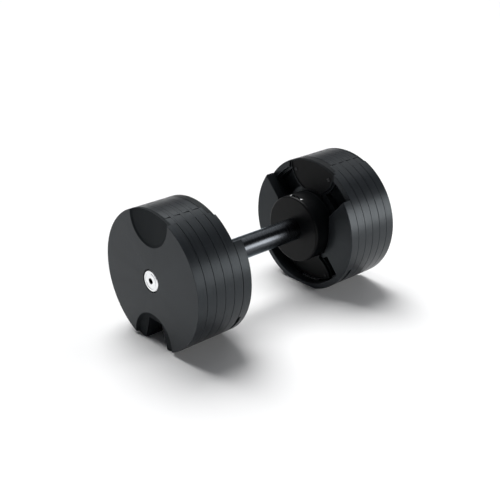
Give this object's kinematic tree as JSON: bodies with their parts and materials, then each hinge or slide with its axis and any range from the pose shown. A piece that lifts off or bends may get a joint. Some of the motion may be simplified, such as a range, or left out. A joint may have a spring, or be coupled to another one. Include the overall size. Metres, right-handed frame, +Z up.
{
  "type": "adjustable dumbbell",
  "caption": "Adjustable dumbbell: twisting the grip draws selector bars in and lets go of weight plates at both ends.",
  "frame": {"origin": "middle of the grip's axis, halfway between the two ends", "axes": "+X along the grip to the right-hand end, +Z up from the plates' rest flats, +Y away from the viewer"},
  "size_m": [0.318, 0.17, 0.1662],
  "materials": {
    "plate_coating": "fine textured black-grey coating, satin",
    "carrier_coating": "fine textured black-grey coating, satin",
    "cover_plastic": "moulded, matt",
    "hub_plastic": "moulded, satin",
    "window": "clear, smoke tinted",
    "dial_plastic": "moulded with white figures",
    "grip_metal": "smooth dark coating, semi-gloss",
    "bar_steel": "ground",
    "cap_aluminium": "turned",
    "screw_steel": "socket head",
    "drive_steel": "machined",
    "index_steel": "stamped",
    "bush_plastic": "low-friction nylon",
    "spring_steel": "drawn wire",
    "ball_steel": "polished"
  },
  "bodies": {
    "frame": {"lobe_plate_right": "plate_coating", "lobe_screws_right": "screw_steel", "plate_1_right": "plate_coating", "plate_2_right": "plate_coating", "plate_3_right": "plate_coating", "plate_4_right": "plate_coating", "plate_5_right": "plate_coating", "carrier_plate_right": "carrier_coating", "fan_covers_right": "cover_plastic", "fan_screws_right": "screw_steel", "hub_housing_right": "hub_plastic", "hub_screws_right": "screw_steel", "display_window_right": "window", "grip_bush_right": "bush_plastic", "bar_bush_right": "bush_plastic", "bar_key_right": "screw_steel", "detent_ball_right": "ball_steel", "detent_spring_right": "spring_steel", "lock_spring_right": "spring_steel", "lobe_plate_left": "plate_coating", "lobe_screws_left": "screw_steel", "plate_1_left": "plate_coating", "plate_2_left": "plate_coating", "plate_3_left": "plate_coating", "plate_4_left": "plate_coating", "plate_5_left": "plate_coating", "carrier_plate_left": "carrier_coating", "fan_covers_left": "cover_plastic", "fan_screws_left": "screw_steel", "hub_housing_left": "hub_plastic", "hub_screws_left": "screw_steel", "display_window_left": "window", "grip_bush_left": "bush_plastic", "bar_bush_left": "bush_plastic", "bar_key_left": "screw_steel", "detent_ball_left": "ball_steel", "detent_spring_left": "spring_steel", "lock_spring_left": "spring_steel"},
    "grip": {"grip_sleeve": "grip_metal", "drive_screw": "drive_steel", "index_disc_right": "index_steel", "number_dial_right": "dial_plastic", "retaining_ring_right": "spring_steel", "index_disc_left": "index_steel", "number_dial_left": "dial_plastic", "retaining_ring_left": "spring_steel"},
    "selector_bar_right": {"selector_bar_right": "bar_steel", "follower_pins_right": "drive_steel", "bar_end_cap_right": "cap_aluminium"},
    "selector_bar_left": {"selector_bar_left": "bar_steel", "follower_pins_left": "drive_steel", "bar_end_cap_left": "cap_aluminium"},
    "lock_right": {"lock_pin_right": "index_steel"},
    "lock_left": {"lock_pin_left": "index_steel"}
  },
  "joints": [
    {"name": "grip_turn", "type": "hinge", "parent": "frame", "child": "grip", "pos_m": [0, 0, 0], "axis": [1, 0, 0], "range_deg": [0, 300]},
    {"name": "selector_bar_slide_right", "type": "slide", "parent": "frame", "child": "selector_bar_right", "axis": [-1, 0, 0], "range_m": [0, 0.0651]},
    {"name": "selector_bar_slide_left", "type": "slide", "parent": "frame", "child": "selector_bar_left", "axis": [1, 0, 0], "range_m": [0, 0.0651]},
    {"name": "lock_pin_slide_right", "type": "slide", "parent": "frame", "child": "lock_right", "axis": [0, 0, 1], "range_m": [0, 0.0035], "stiffness_N_per_m": 400, "springref_m": -0.004, "deforming": ["lock_spring_right"]},
    {"name": "lock_pin_slide_left", "type": "slide", "parent": "frame", "child": "lock_left", "axis": [0, 0, 1], "range_m": [0, 0.0035], "stiffness_N_per_m": 400, "springref_m": -0.004, "deforming": ["lock_spring_left"]}
  ],
  "couplings": [
    {"joint": "selector_bar_slide_right", "follows": "grip_turn", "m_per_rad": 0.012414},
    {"joint": "selector_bar_slide_left", "follows": "grip_turn", "m_per_rad": 0.012414}
  ]
}
